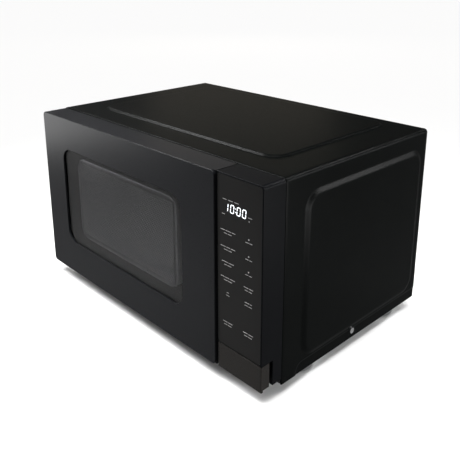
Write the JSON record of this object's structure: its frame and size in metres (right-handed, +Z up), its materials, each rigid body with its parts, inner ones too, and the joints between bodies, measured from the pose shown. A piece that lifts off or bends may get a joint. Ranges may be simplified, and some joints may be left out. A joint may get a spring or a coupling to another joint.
{
  "type": "microwave oven",
  "caption": "Countertop microwave oven with a side-hinged window door, narrow control panel with a press-button door release, turntable and metal cabinet on pressed feet.",
  "frame": {"origin": "middle of the footprint, on the plane the feet rest on", "axes": "+Z up, -Y out of the door, +X towards the control panel"},
  "size_m": [0.443, 0.312, 0.26],
  "materials": {
    "cavity_enamel": "satin enamel",
    "front_steel": "satin paint",
    "galvanised_steel": "galvanised",
    "pad_rubber": "matt",
    "cover_paint": "fine textured powder coat",
    "screw_steel": "zinc plated",
    "gland_plastic": "matt",
    "white_plastic": "matt",
    "switch_plastic": "matt",
    "plunger_plastic": "smooth",
    "door_plastic": "satin moulded",
    "lens_smoke": "smoked gloss",
    "screen_steel": "satin",
    "liner_plastic": "matt",
    "clear_film": "clear",
    "spring_steel": "wire",
    "keypad_film": "printed film",
    "display_glass": "dark glass",
    "board_laminate": "phenolic board",
    "component_mix": "moulded",
    "plated_steel": "zinc plated",
    "mica": "mica sheet",
    "fin_aluminium": "plain",
    "antenna_metal": "plated",
    "core_steel": "laminated, varnished",
    "copper_coil": "enamelled wire",
    "can_aluminium": "drawn can",
    "diode_body": "moulded",
    "motor_steel": "plated",
    "fan_plastic": "matt",
    "bulb_glass": "clear",
    "tray_glass": "pressed glass",
    "roller_plastic": "matt"
  },
  "bodies": {
    "cabinet": {"oven_cavity": "cavity_enamel", "front_plate": "front_steel", "base_plate": "galvanised_steel", "foot_pads": "pad_rubber", "rear_panel": "galvanised_steel", "outer_cover": "cover_paint", "cover_screws": "screw_steel", "cord_gland": "gland_plastic", "hinge_lower": "galvanised_steel", "hinge_upper": "galvanised_steel", "interlock_bracket": "white_plastic", "microswitches": "switch_plastic", "escutcheon": "door_plastic", "keypad_overlay": "keypad_film", "button_spring": "spring_steel", "display_module": "display_glass", "control_board": "board_laminate", "board_components": "component_mix", "waveguide": "plated_steel", "waveguide_cover": "mica", "magnetron_body": "plated_steel", "magnetron_fins": "fin_aluminium", "magnetron_antenna": "antenna_metal", "filter_box": "plated_steel", "hv_transformer_core": "core_steel", "hv_transformer_windings": "copper_coil", "hv_capacitor": "can_aluminium", "capacitor_clamp": "galvanised_steel", "hv_diode": "diode_body", "fan_shroud": "white_plastic", "fan_motor": "motor_steel", "air_duct": "white_plastic", "lamp_holder": "switch_plastic", "lamp_bulb": "bulb_glass", "thermal_cutouts": "plated_steel", "filter_board": "board_laminate", "turntable_motor": "motor_steel"},
    "door": {"door_frame": "door_plastic", "door_lens": "lens_smoke", "door_screen": "screen_steel", "door_liner": "liner_plastic", "door_inner_film": "clear_film", "latch_spring": "spring_steel"},
    "latch": {"latch_key": "white_plastic"},
    "button": {"release_button": "door_plastic"},
    "lifter": {"release_lifter": "white_plastic"},
    "plungers": {"switch_plungers": "plunger_plastic"},
    "fan": {"fan_blade": "fan_plastic", "fan_shaft": "motor_steel"},
    "turntable_drive": {"drive_shaft": "motor_steel", "drive_coupler": "white_plastic"},
    "tray": {"glass_tray": "tray_glass"},
    "ring": {"ring_frame": "white_plastic"},
    "roller_a": {"roller_1": "roller_plastic"},
    "roller_b": {"roller_2": "roller_plastic"},
    "roller_c": {"roller_3": "roller_plastic"}
  },
  "joints": [
    {"name": "door_swing", "type": "hinge", "parent": "cabinet", "child": "door", "pos_m": [-0.212, -0.1315, 0.14], "axis": [0, 0, -1], "range_deg": [0, 100]},
    {"name": "latch_lift", "type": "slide", "parent": "door", "child": "latch", "axis": [0, 0, 1], "range_m": [0, 0.0046], "stiffness_N_per_m": 300, "springref_m": -0.004, "deforming": ["latch_spring"]},
    {"name": "button_press", "type": "slide", "parent": "cabinet", "child": "button", "axis": [0, 1, 0], "range_m": [0, 0.005], "stiffness_N_per_m": 500, "springref_m": -0.003, "deforming": ["button_spring"]},
    {"name": "lifter_lift", "type": "slide", "parent": "cabinet", "child": "lifter", "axis": [0, 0, 1], "range_m": [0, 0.0046]},
    {"name": "plunger_press", "type": "slide", "parent": "cabinet", "child": "plungers", "axis": [0, 1, 0], "range_m": [0, 0.001], "stiffness_N_per_m": 200, "springref_m": -0.0005},
    {"name": "fan_spin", "type": "hinge", "parent": "cabinet", "child": "fan", "pos_m": [0.16, 0.117, 0.165], "axis": [0, 1, 0], "continuous": true},
    {"name": "turntable_spin", "type": "hinge", "parent": "cabinet", "child": "turntable_drive", "pos_m": [-0.053, 0.0124, 0.04], "axis": [0, 0, 1], "continuous": true},
    {"name": "tray_lift", "type": "slide", "parent": "turntable_drive", "child": "tray", "axis": [0, 0, 1], "range_m": [0, 0.03]},
    {"name": "ring_spin", "type": "hinge", "parent": "cabinet", "child": "ring", "pos_m": [-0.053, 0.0124, 0.04365], "axis": [0, 0, 1], "continuous": true},
    {"name": "roller_a_spin", "type": "hinge", "parent": "ring", "child": "roller_a", "pos_m": [0.02321, 0.0564, 0.04365], "axis": [0.866, 0.5, 0], "continuous": true},
    {"name": "roller_b_spin", "type": "hinge", "parent": "ring", "child": "roller_b", "pos_m": [-0.12921, 0.0564, 0.04365], "axis": [-0.866, 0.5, 0], "continuous": true},
    {"name": "roller_c_spin", "type": "hinge", "parent": "ring", "child": "roller_c", "pos_m": [-0.053, -0.0756, 0.04365], "axis": [0, -1, 0], "continuous": true}
  ],
  "couplings": [
    {"joint": "latch_lift", "follows": "button_press", "ratio": 0.9},
    {"joint": "lifter_lift", "follows": "button_press", "ratio": 0.9},
    {"joint": "ring_spin", "follows": "turntable_spin", "ratio": 0.5},
    {"joint": "roller_a_spin", "follows": "turntable_spin", "ratio": -5.8667},
    {"joint": "roller_b_spin", "follows": "turntable_spin", "ratio": -5.8667},
    {"joint": "roller_c_spin", "follows": "turntable_spin", "ratio": -5.8667}
  ]
}
